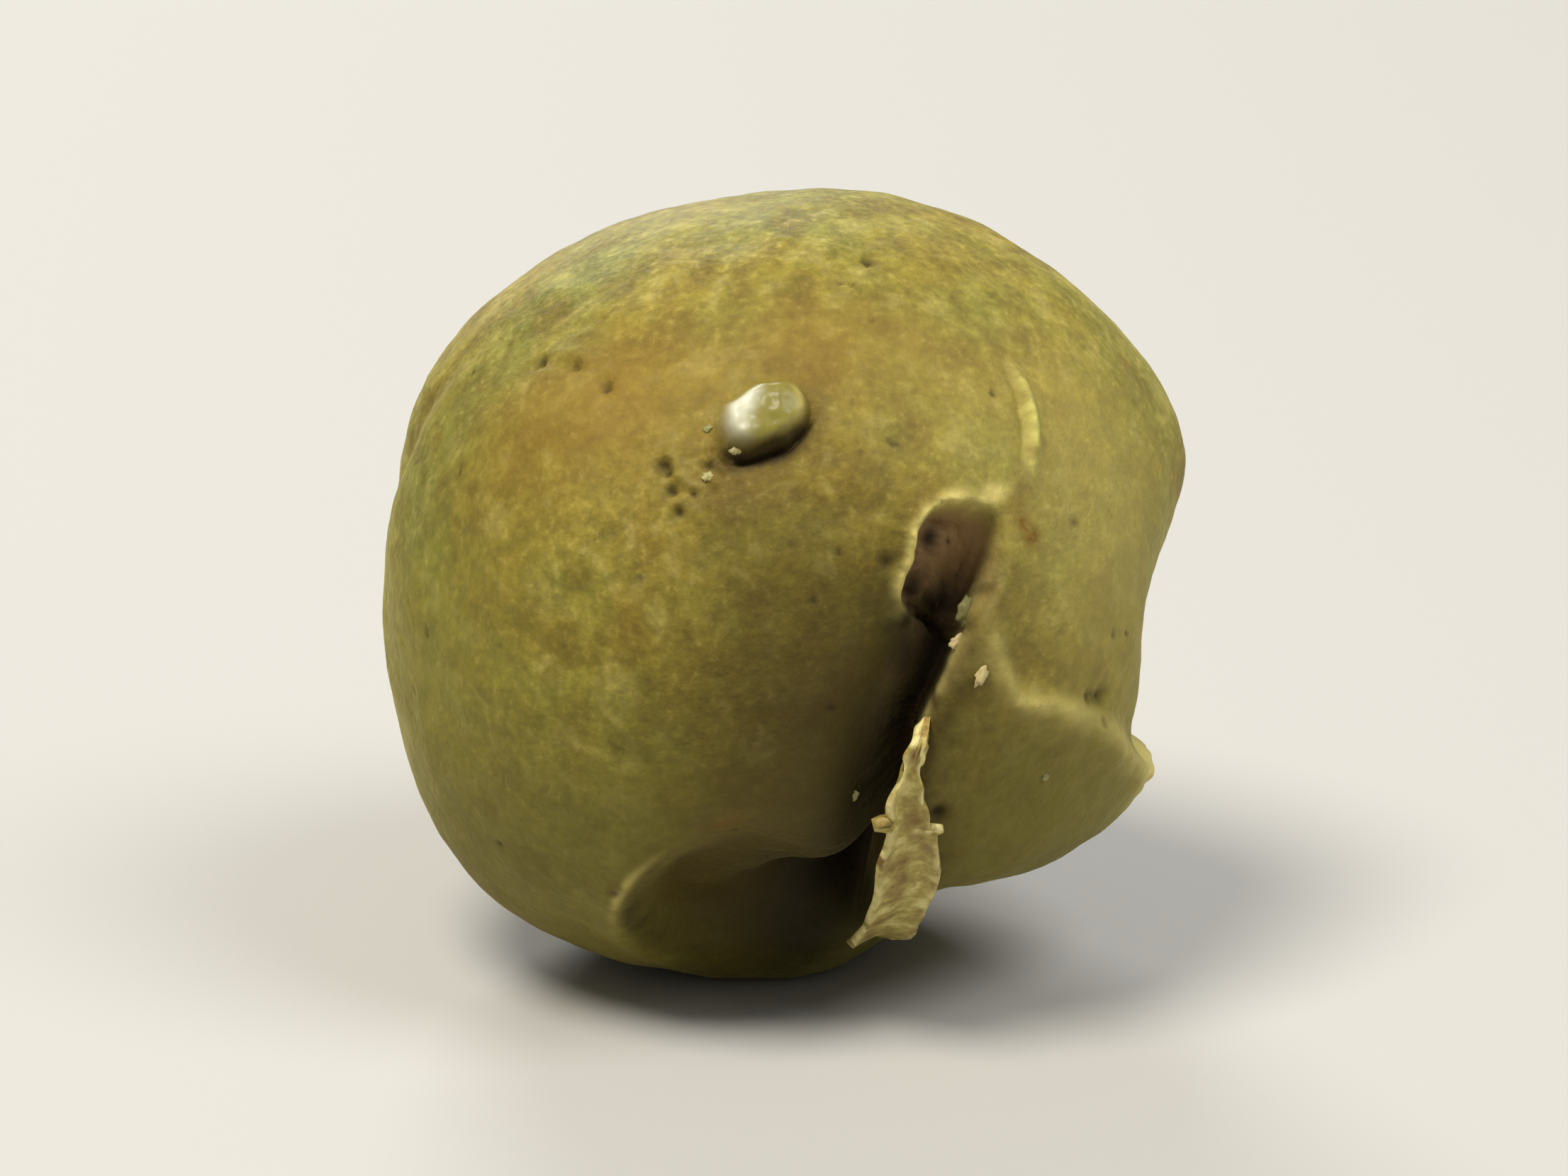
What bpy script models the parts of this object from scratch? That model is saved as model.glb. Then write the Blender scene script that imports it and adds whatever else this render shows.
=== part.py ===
"""A dried green peppercorn: one whole unripe berry of the pepper vine, dried until its skin shrank.

It is one closed solid, about 5.5 mm across, resting on a small flat spot. Seen from the front (-Y) it has a low
nub where the flower's style fell off, and right of the middle a split in the skin. The split starts in a torn
oval and runs down as a groove, with the big cheek on its left and a smaller lobe on its right. The lobe ends in
a pointed corner over a hollow, and a thin strip of peeled skin hangs down along the groove. The back has the
brown scar where the berry sat on its spike, with wrinkles drawn in towards it.
"""

import math

import bmesh
import bpy
import numpy as np
from mathutils import Vector, noise

MM = 0.001

# Size over all, and how deep the bottom is pressed flat where the berry rests.
BERRY_WIDTH = 5.6 * MM
BERRY_DEPTH = 5.6 * MM
BERRY_HEIGHT = 5.52 * MM
REST_FLAT_DEPTH = 0.13 * MM
MEAN_RADIUS = (BERRY_WIDTH + BERRY_DEPTH + BERRY_HEIGHT) / 6

# Places on the skin are a bearing in degrees, from the front towards the right, and a rise above level. The heights,
# depths and half sizes of the forms on the skin are in millimetres.

# Each swell: bearing, rise, half length, half width, turn of the length from level, height (minus is a hollow).
SWELLS = (
    (96.5, 15, 1.0, 0.8, 90, 0.185),  # right shoulder
    (99, 50, 1.3, 0.9, 60, 0.10),  # upper right
    (-74, -43, 1.1, 0.85, 70, 0.15),  # lower left cheek
    (4, 2, 1.3, 0.8, 100, -0.06),  # shallow hollow in the middle
    (7, -12, 1.7, 0.9, 96, -0.17),  # skin drawn down to the split, left of it
    (-100, 34, 1.3, 0.9, 20, 0.06),  # upper left, a little full
    (-140, 68, 1.3, 0.9, 20, -0.06),  # top, a little flat
    (-92, 4, 0.9, 0.8, 0, -0.03),  # left side, a little flat
    (94, -1.8, 1.26, 0.75, 4, -0.55),  # waist of the right lobe, level with its middle
    (104.5, -21.8, 1.2, 0.31, -5, -0.28),  # notch over its corner
    (70, -57, 1.9, 0.78, 0, -0.46),  # hollow under the right lobe's corner
    (80, -35, 0.7, 0.3, -20, 0.07),  # fullness between the two
    (44, -20, 1.0, 0.5, -28, -0.10),  # flat facet of the lobe, under its ridge
    (8, -50, 0.75, 0.42, 0, -0.28),  # deepest part of the hollow at the bottom
    (140, 22, 0.9, 0.7, 30, -0.20),  # dimple at the back, right
    (-142, 8, 0.8, 0.55, 115, -0.17),  # dimple at the back, left
)

# Split in the skin, from the torn oval down to the hollow underneath, with its depth and the width of its left
# slope at stops along the way.
SPLIT_ROUTE = (
    (32.5, 28), (30.2, 19), (24.4, 10), (20.2, 0), (17.2, -10), (17.2, -21), (18.8, -35), (20, -50), (18, -62),
)
SPLIT_STOPS = (0.0, 0.08, 0.16, 0.28, 0.5, 0.75, 0.9, 1.0)
SPLIT_DEPTHS = (0.0, 0.12, 0.44, 0.66, 0.72, 0.72, 0.54, 0.0)
SPLIT_SLOPES = (0.22, 0.26, 0.36, 0.44, 0.38, 0.26, 0.26, 0.3)
SPLIT_WALL = 0.10
SPLIT_WALL_SOFTNESS = 0.028
LOBE_LIP_HEIGHT = 0.045
LOBE_LIP_FADE = 0.15

# Folds where the skin shrank: route, height (minus is a crease), half width.
FOLDS = (
    (((50, 46), (48.3, 40), (45, 33), (40, 27)), 0.06, 0.055),  # low ridge that leads to the torn oval
    (((-78, 42), (-86, 20), (-99, 2), (-107, -18)), -0.09, 0.16),  # left side
    (((-128, -8), (-120, -24), (-126, -40)), -0.08, 0.15),  # left side, low at the back
    (((146, 72), (168, 54), (-170, 38), (-148, 30)), -0.11, 0.17),  # over the top of the back
    (((116, 34), (126, 14), (129, -8)), -0.09, 0.15),  # right side of the back
)

# Torn oval at the head of the split.
TEAR_BEARING = 24.1
TEAR_RISE = 20.6
TEAR_HALF_LENGTH = 0.43
TEAR_HALF_WIDTH = 0.265
TEAR_TURN = 34
TEAR_DEPTH = 0.20
TEAR_STEEPNESS = 14

# Ridge across the right lobe to its pointed corner, with its height and the half widths of its two sides at stops
# along the way.
CORNER_ROUTE = (
    (30, 14), (30, 6), (33.5, -1.5), (42.5, -5), (54, -9.5), (66, -17), (80, -23.2), (96, -24.8), (112, -25.3),
)
CORNER_STOPS = (0.0, 0.12, 0.3, 0.5, 0.65, 0.75, 0.85, 1.0)
CORNER_HEIGHTS = (0.0, 0.06, 0.09, 0.08, 0.09, 0.14, 0.14, 0.0)
CORNER_WIDTHS_OVER = (0.09, 0.09, 0.09, 0.09, 0.08, 0.045, 0.04, 0.04)
CORNER_WIDTHS_UNDER = (0.16, 0.16, 0.16, 0.16, 0.18, 0.3, 0.32, 0.32)

# Hollow at the bottom of the front, with a sharp left lip.
PIT_BEARING = -9
PIT_RISE = -42.8
PIT_HALF_LENGTH = 0.88
PIT_HALF_WIDTH = 1.05
PIT_TURN = -8
PIT_DEPTH = 0.42
PIT_STEEPNESS = 6
PIT_LEFT_STEEPNESS = 20
PIT_WALL = 0.8
PIT_LIP = 0.05
PIT_LIP_WIDTH = 0.15

# Nub left by the flower's style.
NUB_BEARING = -4
NUB_RISE = 41
NUB_HALF_LENGTH = 0.29
NUB_HALF_WIDTH = 0.215
NUB_TURN = 35
NUB_HEIGHT = 0.24
NUB_STEEPNESS = 11

# Scar where the berry sat on its spike, and the wrinkles drawn in to it.
SCAR_BEARING = 176
SCAR_RISE = -38
SCAR_RADIUS = 0.55
SCAR_DEPTH = 0.20
SCAR_CUP = 0.7
SCAR_RIM = 0.10
SCAR_RIM_WIDTH = 0.35
WRINKLE_TURNS = (12, 66, 108, 161, 214, 263, 322)
WRINKLE_REACHES = (52, 75, 45, 68, 80, 48, 60)
WRINKLE_START = 9
WRINKLE_BEND = 9
WRINKLE_BEND_LENGTH = 90
WRINKLE_BEND_SHIFT = 3
WRINKLE_DEPTH = 0.13
WRINKLE_HALF_WIDTH = 0.17

# Slow unevenness of the dried skin: two octaves of noise.
WAVE_LENGTH = 1.9
WAVE_HEIGHT = 0.055
WAVE_OFFSET = Vector((3.0, 8.1, -3.9))

# Strip of skin peeled from the lobe's lip: bearing, rise, height of its outer side over the mean radius, width.
# Its root goes down into the flesh, and its outer side is crowned.
STRIP_ROUTE = (
    (19.1, -7.0, 0.05, 0.12),
    (18.7, -9.5, 0.06, 0.14),
    (18.5, -14, 0.07, 0.19),
    (19.2, -18, 0.08, 0.26),
    (19.9, -21.5, 0.07, 0.34),
    (20.3, -27, 0.05, 0.42),
    (20.9, -33, 0.02, 0.41),
    (21.5, -43, -0.06, 0.42),
    (22.2, -49.5, -0.15, 0.38),
)
STRIP_ROOT = 1.5
STRIP_EDGE_DROP = 0.08
STRIP_CROWN = 0.5

# Mesh of the body, and the oval patches where it is twice as fine: bearing, rise, half sizes and turn.
ROUND_SUBDIVISIONS = 5
FINE_PATCHES = (
    (20, -8, 1.9, 0.85, 97),
    (-4, 41, 0.62, 0.56, 0),
    (-12, -40, 1.25, 0.9, 0),
    (80, -20, 1.4, 0.42, -16),
    (176, -38, 0.85, 0.85, 0),
)
FINEST_PATCHES = ((-4, 41, 0.50, 0.42, 35), (24.1, 20.6, 0.58, 0.42, 34), (92, -24, 0.65, 0.2, -8))
SHORTEST_EDGE = 0.004 * MM


def toward(bearing, rise):
    """Unit vector from the berry's middle to a place on its skin."""
    b, e = math.radians(bearing), math.radians(rise)
    return np.array((math.cos(e) * math.sin(b), -math.cos(e) * math.cos(b), math.sin(e)))


def around(ways, bearing, rise):
    """Angle of each direction from a place on the skin, and its turn round that place from level, both in radians."""
    out = toward(bearing, rise)
    east = toward(bearing + 90, 0)
    north = np.cross(out, east)
    return np.arccos(np.clip(ways @ out, -1, 1)), np.arctan2(ways @ north, ways @ east)


def spread(ways, bearing, rise, half_length, half_width, turn):
    """How many half sizes of an oval patch each direction lies from its middle, along the skin."""
    angle, direction = around(ways, bearing, rise)
    far = MEAN_RADIUS / MM * angle
    off = direction - math.radians(turn)
    return far * np.hypot(np.cos(off) / half_length, np.sin(off) / half_width)


def smooth_route(points, steps=6):
    """A Catmull-Rom curve through the points of a route, as an array."""
    p = np.array([2 * points[0] - points[1], *points, 2 * points[-1] - points[-2]])
    route = []
    for a, b, c, d in zip(p, p[1:], p[2:], p[3:]):
        for k in range(steps):
            t = k / steps
            route.append(0.5 * (2 * b + (c - a) * t + (2 * a - 5 * b + 4 * c - d) * t * t
                                + (3 * b - a - 3 * c + d) * t ** 3))
    return np.array(route + [points[-1]])


def beside(ways, places):
    """Share of the way along a route on the skin, and millimetres to its right as it runs down, of each direction."""
    route = smooth_route([toward(*place) for place in places])
    nearest = np.full(len(ways), 9.0)
    share = np.zeros(len(ways))
    side = np.zeros(len(ways))
    for k, (a, b) in enumerate(zip(route, route[1:])):
        run = b - a
        t = np.clip((ways - a) @ run / (run @ run), 0, 1)
        apart = ways - a - t[:, None] * run
        far = np.linalg.norm(apart, axis=1)
        hit = far < nearest
        nearest[hit] = far[hit]
        share[hit] = (k + t[hit]) / (len(route) - 1)
        side[hit] = np.sign(ways[hit] @ np.cross(a, run))
    return share, side * nearest * MEAN_RADIUS / MM


def bell(x):
    """1 at the middle, falling smoothly to nothing past 2."""
    return np.exp(-x * x)


def step_down(x):
    """1 well below nothing, half at nothing, and 0 well above it."""
    return 1 / (1 + np.exp(np.clip(x, -40, 40)))


def split_form(ways):
    """Groove of the split: a slope on its left, a steep wall on its right, and the raised lip of the lobe."""
    share, side = beside(ways, SPLIT_ROUTE)
    depth = np.interp(share, SPLIT_STOPS, SPLIT_DEPTHS)
    slope = np.interp(share, SPLIT_STOPS, SPLIT_SLOPES)
    left = bell(side / slope)
    wall = step_down((side - SPLIT_WALL) / SPLIT_WALL_SOFTNESS)
    lip = LOBE_LIP_HEIGHT * np.exp(-np.maximum(side - SPLIT_WALL, 0) / LOBE_LIP_FADE) * depth / max(SPLIT_DEPTHS)
    return lip * (1 - wall) - depth * np.where(side < 0, left, wall)


def tear_form(ways):
    """Torn oval: a flat-bottomed dip with a crisp edge."""
    far = spread(ways, TEAR_BEARING, TEAR_RISE, TEAR_HALF_LENGTH, TEAR_HALF_WIDTH, TEAR_TURN)
    return -TEAR_DEPTH * step_down(TEAR_STEEPNESS * (far - 1))


def folds_form(ways):
    """Creases and low ridges, fading out at both ends."""
    height = np.zeros(len(ways))
    for route, rise_by, half_width in FOLDS:
        share, side = beside(ways, route)
        height += rise_by * bell(side / half_width) * np.sin(np.pi * share)
    return height


def corner_form(ways):
    """Ridge across the right lobe, highest at the pointed corner."""
    share, side = beside(ways, CORNER_ROUTE)
    widths = np.where(side < 0, np.interp(share, CORNER_STOPS, CORNER_WIDTHS_UNDER),
                      np.interp(share, CORNER_STOPS, CORNER_WIDTHS_OVER))
    return np.interp(share, CORNER_STOPS, CORNER_HEIGHTS) * bell(side / widths)


def pit_form(ways):
    """Hollow at the bottom of the front: soft all round but for its left side, which is steep and has a low lip."""
    far = spread(ways, PIT_BEARING, PIT_RISE, PIT_HALF_LENGTH, PIT_HALF_WIDTH, PIT_TURN)
    _, direction = around(ways, PIT_BEARING, PIT_RISE)
    leftward = np.clip(-np.cos(direction), 0, 1) ** 2
    steepness = PIT_STEEPNESS + (PIT_LEFT_STEEPNESS - PIT_STEEPNESS) * leftward
    return PIT_LIP * leftward * bell((far - 0.95) / PIT_LIP_WIDTH) - PIT_DEPTH * step_down(steepness * (far - PIT_WALL))


def nub_form(ways):
    """Style nub: a low button with steep sides."""
    far = spread(ways, NUB_BEARING, NUB_RISE, NUB_HALF_LENGTH, NUB_HALF_WIDTH, NUB_TURN)
    return NUB_HEIGHT * step_down(NUB_STEEPNESS * (far - 1))


def scar_form(ways):
    """Scar at the back: a shallow cup with a raised rim, and wrinkles that run out from it."""
    angle, direction = around(ways, SCAR_BEARING, SCAR_RISE)
    far = MEAN_RADIUS / MM * angle / SCAR_RADIUS
    height = SCAR_RIM * bell((far - 1) / SCAR_RIM_WIDTH) - SCAR_DEPTH * bell(far / SCAR_CUP)
    angle, direction = np.degrees(angle), np.degrees(direction)
    for start, reach in zip(WRINKLE_TURNS, WRINKLE_REACHES):
        bend = np.sin(np.radians(360 / WRINKLE_BEND_LENGTH * angle + WRINKLE_BEND_SHIFT * start))
        middle = start + WRINKLE_BEND * bend
        off = (direction - middle + 180) % 360 - 180
        side = np.radians(off) * np.sin(np.radians(angle)) * MEAN_RADIUS / MM
        taper = np.clip(1 - angle / reach, 0, 1) * np.clip(angle / WRINKLE_START - 1, 0, 1)
        height -= WRINKLE_DEPTH * taper * bell(side / WRINKLE_HALF_WIDTH)
    return height


def skin_radius(ways):
    """Distance of the skin from the berry's middle in each direction, in metres."""
    halves = np.array((BERRY_WIDTH, BERRY_DEPTH, BERRY_HEIGHT)) / 2
    height = sum(rise_by * bell(spread(ways, *place)) for *place, rise_by in SWELLS)
    waves = MEAN_RADIUS / MM / WAVE_LENGTH
    height += [WAVE_HEIGHT * noise.fractal(Vector(way) * waves + WAVE_OFFSET, 1.0, 2.0, 2) for way in ways]
    for form in (split_form, folds_form, tear_form, corner_form, pit_form, nub_form, scar_form):
        height += form(ways)
    return 1 / np.linalg.norm(ways / halves, axis=1) + height * MM


def refine(bm, patches):
    """Halve the mesh's edges inside oval patches of the skin."""
    ways = np.array([v.co.normalized() for v in bm.verts])
    near = np.min([spread(ways, *patch) for patch in patches], axis=0) < 1
    edges = [e for e in bm.edges if near[e.verts[0].index] and near[e.verts[1].index]]
    bmesh.ops.subdivide_edges(bm, edges=edges, cuts=1, use_grid_fill=True)
    bmesh.ops.triangulate(bm, faces=bm.faces[:])
    bm.verts.index_update()


def make_berry():
    """The berry's body: a round mesh, finer at the small forms, with each corner moved out to the skin."""
    bm = bmesh.new()
    bmesh.ops.create_icosphere(bm, subdivisions=ROUND_SUBDIVISIONS, radius=1)
    refine(bm, FINE_PATCHES)
    refine(bm, FINEST_PATCHES)
    ways = np.array([v.co.normalized() for v in bm.verts])
    for vert, way, radius in zip(bm.verts, ways, skin_radius(ways)):
        vert.co = Vector(way) * radius
    return bm


def make_strip():
    """Peeled strip of skin: a narrow bent fin, from the lobe's lip down along the groove, rooted in the flesh."""
    half = ((0, STRIP_CROWN), (STRIP_EDGE_DROP, 1), (STRIP_ROOT, 1))
    corners = [(drop, -side) for drop, side in reversed(half)] + list(half)
    bm = bmesh.new()
    rings = []
    for bearing, rise, height, width in smooth_route([np.array(point) for point in STRIP_ROUTE], steps=3):
        out, east = toward(bearing, rise), toward(bearing + 90, 0)
        ring = [out * (MEAN_RADIUS + (height - drop) * MM) + east * side * width / 2 * MM for drop, side in corners]
        rings.append([bm.verts.new(Vector(point)) for point in ring])
    bm.faces.new(rings[0])
    bm.faces.new(reversed(rings[-1]))
    for upper, lower in zip(rings, rings[1:]):
        for k, after in enumerate([*range(1, len(corners)), 0]):
            bm.faces.new((upper[k], lower[k], lower[after], upper[after]))
    bmesh.ops.recalc_face_normals(bm, faces=bm.faces[:])
    return bm


def as_object(name, bm):
    """The mesh as an object in the scene."""
    mesh = bpy.data.meshes.new(name)
    bm.to_mesh(mesh)
    bm.free()
    thing = bpy.data.objects.new(name, mesh)
    bpy.context.collection.objects.link(thing)
    return thing


def fuse(body, extra):
    """Join the extra solid into the body with one union, applied."""
    union = body.modifiers.new("union", "BOOLEAN")
    union.operation = "UNION"
    union.solver = "EXACT"
    union.object = extra
    evaluated = body.evaluated_get(bpy.context.evaluated_depsgraph_get())
    joined = bpy.data.meshes.new_from_object(evaluated)
    body.modifiers.clear()
    body.data = joined
    bpy.data.objects.remove(extra)


def settle(body):
    """Press the bottom flat, fill the cut with one face, and set the berry down with its middle over the origin."""
    bm = bmesh.new()
    bm.from_mesh(body.data)
    bmesh.ops.remove_doubles(bm, verts=bm.verts[:], dist=SHORTEST_EDGE)
    bmesh.ops.dissolve_degenerate(bm, edges=bm.edges[:], dist=SHORTEST_EDGE / 4)
    floor = min(v.co.z for v in bm.verts) + REST_FLAT_DEPTH
    cut = bmesh.ops.bisect_plane(bm, geom=bm.verts[:] + bm.edges[:] + bm.faces[:], dist=1e-7,
                                 plane_co=(0, 0, floor), plane_no=(0, 0, -1), clear_outer=True)
    rim = [e for e in cut["geom_cut"] if isinstance(e, bmesh.types.BMEdge)]
    bmesh.ops.contextual_create(bm, geom=rim)
    middle = [(min(v.co[k] for v in bm.verts) + max(v.co[k] for v in bm.verts)) / 2 for k in range(2)]
    bmesh.ops.translate(bm, verts=bm.verts[:], vec=(-middle[0], -middle[1], -floor))
    bmesh.ops.triangulate(bm, faces=bm.faces[:])
    bmesh.ops.recalc_face_normals(bm, faces=bm.faces[:])
    bm.to_mesh(body.data)
    bm.free()
    body.data.shade_smooth()


def dried_skin():
    """Matt olive skin of the dried berry."""
    material = bpy.data.materials.new("dried_skin")
    material.use_nodes = True
    shader = material.node_tree.nodes["Principled BSDF"]
    shader.inputs["Base Color"].default_value = (0.25, 0.20, 0.055, 1)
    shader.inputs["Roughness"].default_value = 0.62
    shader.inputs["Metallic"].default_value = 0.0
    return material


for old in list(bpy.data.objects):
    bpy.data.objects.remove(old)
peppercorn = as_object("peppercorn", make_berry())
fuse(peppercorn, as_object("strip", make_strip()))
settle(peppercorn)
peppercorn.data.materials.clear()
peppercorn.data.materials.append(dried_skin())
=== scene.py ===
import math
import random

import bmesh
import bpy
import numpy as np
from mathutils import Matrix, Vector, noise


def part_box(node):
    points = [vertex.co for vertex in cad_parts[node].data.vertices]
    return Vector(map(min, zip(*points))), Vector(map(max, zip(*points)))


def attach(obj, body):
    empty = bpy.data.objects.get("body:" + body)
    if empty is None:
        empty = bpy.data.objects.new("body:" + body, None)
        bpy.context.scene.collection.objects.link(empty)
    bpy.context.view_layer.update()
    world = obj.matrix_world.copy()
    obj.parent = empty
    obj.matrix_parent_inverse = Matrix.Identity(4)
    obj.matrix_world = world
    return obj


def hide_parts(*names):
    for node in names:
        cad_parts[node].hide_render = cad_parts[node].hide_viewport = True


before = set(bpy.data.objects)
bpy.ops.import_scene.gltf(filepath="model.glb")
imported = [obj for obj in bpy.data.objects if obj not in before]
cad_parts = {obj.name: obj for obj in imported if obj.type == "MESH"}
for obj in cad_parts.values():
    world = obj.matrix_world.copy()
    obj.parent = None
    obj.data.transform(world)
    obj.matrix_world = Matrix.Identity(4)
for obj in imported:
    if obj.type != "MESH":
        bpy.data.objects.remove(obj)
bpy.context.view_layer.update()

MM = 0.001

# The whole berry. A green peppercorn is an unripe berry of the pepper vine, dried so that its thin skin has
# shrunk onto the seed: smooth in most places, and folded, split and pitted in a few. It is one body. The mesh
# follows the solid's form, by the same formulas and nearly the same values, and adds fine relief.
BERRY_WIDTH = 5.6 * MM
BERRY_DEPTH = 5.6 * MM
BERRY_HEIGHT = 5.52 * MM
REST_FLAT_DEPTH = 0.13 * MM
MEAN_RADIUS = (BERRY_WIDTH + BERRY_DEPTH + BERRY_HEIGHT) / 6

# Places on the skin are a bearing in degrees, from the front towards the right, and a rise above level. Turns
# are in degrees from level, and heights, depths, half sizes and lengths of waves are in millimetres.

# Each swell: bearing, rise, half length, half width, turn of its length, height (minus is a hollow).
SWELLS = (
    (96.5, 15, 1.0, 0.8, 90, 0.185),  # right shoulder
    (99, 50, 1.3, 0.9, 60, 0.10),  # upper right
    (-74, -43, 1.1, 0.85, 70, 0.15),  # lower left cheek
    (4, 2, 1.3, 0.8, 100, -0.06),  # shallow hollow in the middle
    (7, -12, 1.7, 0.9, 96, -0.17),  # skin drawn down to the split, left of it
    (-100, 34, 1.3, 0.9, 20, 0.06),  # upper left, a little full
    (-140, 68, 1.3, 0.9, 20, -0.06),  # top, a little flat
    (-92, 4, 0.9, 0.8, 0, -0.03),  # left side, a little flat
    (94, -1.8, 1.26, 0.75, 4, -0.58),  # waist of the right lobe, level with its middle
    (104.5, -22.4, 1.2, 0.31, -5, -0.34),  # notch over its corner
    (70, -57, 1.9, 0.78, 0, -0.46),  # hollow under the right lobe's corner
    (80, -35, 0.7, 0.3, -20, 0.07),  # fullness between the two
    (44, -20, 1.0, 0.5, -28, -0.10),  # flat facet of the lobe, under its ridge
    (8, -50, 0.75, 0.42, 0, -0.28),  # deepest part of the hollow at the bottom
    (140, 22, 0.9, 0.7, 30, -0.20),  # dimple at the back, right
    (-142, 8, 0.8, 0.55, 115, -0.17),  # dimple at the back, left
)

# Slow unevenness of the dried skin.
WAVE_LENGTH = 1.9
WAVE_HEIGHT = 0.055

# Folds where the skin shrank: route, height (minus is a crease), half width. The first is pale along its top.
FOLDS = (
    (((50, 46), (48.3, 40), (45, 33), (40, 27)), 0.06, 0.055),  # low ridge that leads to the torn place
    (((-78, 42), (-86, 20), (-99, 2), (-107, -18)), -0.09, 0.16),  # left side
    (((-128, -8), (-120, -24), (-126, -40)), -0.08, 0.15),  # left side, low at the back
    (((146, 72), (168, 54), (-170, 38), (-148, 30)), -0.11, 0.17),  # over the top of the back
    (((116, 34), (126, 14), (129, -8)), -0.09, 0.15),  # right side of the back
)
STREAK_HALF_WIDTH = 0.05

# Split in the skin, from the torn place down to the hollow underneath, with its depth and the width of its
# left slope at stops along the way. Its painted shade, nearly black, runs left of its line, and further left
# lower down; browner painted shade lies down its left slope.
SPLIT_ROUTE = (
    (32.5, 28), (30.2, 19), (24.4, 10), (20.2, 0), (17.2, -10), (17.2, -21), (18.8, -35), (20, -50),
    (18, -62),
)
SPLIT_STOPS = (0.0, 0.08, 0.16, 0.28, 0.5, 0.75, 0.9, 1.0)
SPLIT_DEPTHS = (0.0, 0.12, 0.44, 0.66, 0.72, 0.72, 0.54, 0.0)
SPLIT_SLOPES = (0.22, 0.26, 0.36, 0.44, 0.38, 0.26, 0.26, 0.3)
SPLIT_WALL = 0.10
SPLIT_WALL_SOFTNESS = 0.022
SPLIT_UNDERCUT = 0.34
SPLIT_BLACK_SHIFT = 0.09
SPLIT_BLACK_LOW_SHIFT = 0.10
SPLIT_BLACK_WIDTH = 0.33
LOBE_LIP_HEIGHT = 0.045
LOBE_LIP_FADE = 0.15
LOBE_LIP_UNEVEN = 0.4
LOBE_LIP_OVERHANG = 0.08
LOBE_LIP_ROLL = 0.06
LOBE_LIP_PALE_WIDTH = 0.035

# Torn place at the head of the split: a ragged opening with a side square to each turn, at a reach from its
# middle. Its raised rim runs round its upper left, at a share of its reach.
TEAR_MIDDLE = (25.6, 21.0)
TEAR_SIDES = (
    (151.6, 0.255), (120, 0.265), (80, 0.268), (3, 0.335), (-45, 0.40), (-100, 0.60), (-150, 0.50),
)
TEAR_SHARPNESS = 8
TEAR_DEPTH = 0.20
TEAR_STEEPNESS = 26
TEAR_RAGGED = 0.10
TEAR_RAGGED_LENGTH = 0.22
TEAR_RIM = 0.05
TEAR_RIM_TURN = 126
TEAR_RIM_AT = 1.14
TEAR_RIM_WIDTH = 0.16

# Ridge across the right lobe to its pointed corner, with its height and the half widths of its two sides at
# stops along the way. The corner's tip is pale round a share of the way, some way under and over the ridge:
# worn, and with a painted highlight.
CORNER_ROUTE = (
    (30, 14), (30, 6), (33.5, -1.5), (42.5, -5), (54, -11.5), (66, -19), (79, -23.9), (94, -25.1),
    (112, -26.3),
)
CORNER_STOPS = (0.0, 0.12, 0.3, 0.5, 0.65, 0.75, 0.85, 1.0)
CORNER_HEIGHTS = (0.0, 0.06, 0.09, 0.08, 0.09, 0.16, 0.22, 0.0)
CORNER_WIDTHS_OVER = (0.09, 0.09, 0.09, 0.09, 0.08, 0.04, 0.032, 0.032)
CORNER_WIDTHS_UNDER = (0.16, 0.16, 0.16, 0.16, 0.18, 0.27, 0.26, 0.26)
CORNER_UNEVEN = 0.35
CORNER_WORN_HEIGHT = 0.09
CORNER_FOOT = 0.05
CORNER_FOOT_SOFTNESS = 0.025
TIP_SHARE = 0.775
TIP_SHARE_REACH = 0.06
TIP_UNDER = 0.26
TIP_OVER = 0.09

# Hollow at the bottom of the front, steep and with a low lip on its left. The lip is pale round one turn, on
# its upper left: a painted highlight, broken by wear. Painted shade runs along the inside of its left side.
PIT_BEARING = -9
PIT_RISE = -42.8
PIT_HALF_LENGTH = 0.88
PIT_HALF_WIDTH = 1.05
PIT_TURN = -8
PIT_DEPTH = 0.42
PIT_STEEPNESS = 6
PIT_LEFT_STEEPNESS = 20
PIT_WALL = 0.8
PIT_LIP = 0.05
PIT_LIP_AT = 0.95
PIT_LIP_WIDTH = 0.15
PIT_PALE_AT = 0.97
PIT_PALE_WIDTH = 0.035
PIT_PALE_TURN = 150
PIT_PALE_SPAN = 22
PIT_CREASE_AT = 0.87
PIT_CREASE_WIDTH = 0.05

# Nub left by the flower's style. It leans to its lower right, where it stands over a crease with a painted
# shadow, and has a painted highlight, nearly white, on its left.
NUB_BEARING = -4
NUB_RISE = 41
NUB_HALF_LENGTH = 0.29
NUB_HALF_WIDTH = 0.20
NUB_TURN = 35
NUB_HEIGHT = 0.24
NUB_STEEPNESS = 10
NUB_RAGGED = 0.10
NUB_RAGGED_LENGTH = 0.2
NUB_LUMPS = 0.10
NUB_LUMP_LENGTH = 0.14
NUB_LEAN = 0.06
NUB_LEAN_STEP = 60
NUB_CREASE = 0.11
NUB_CREASE_AT = 1.3
NUB_CREASE_WIDTH = 0.14
NUB_SHADE_AT = 1.28
NUB_SHADE_WIDTH = 0.34
NUB_UNDER_TURN = -66
NUB_LIT_TURN = 170
NUB_EDGE_TURN = 12
NUB_EDGE_AT = 0.85
NUB_EDGE_WIDTH = 0.16

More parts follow.
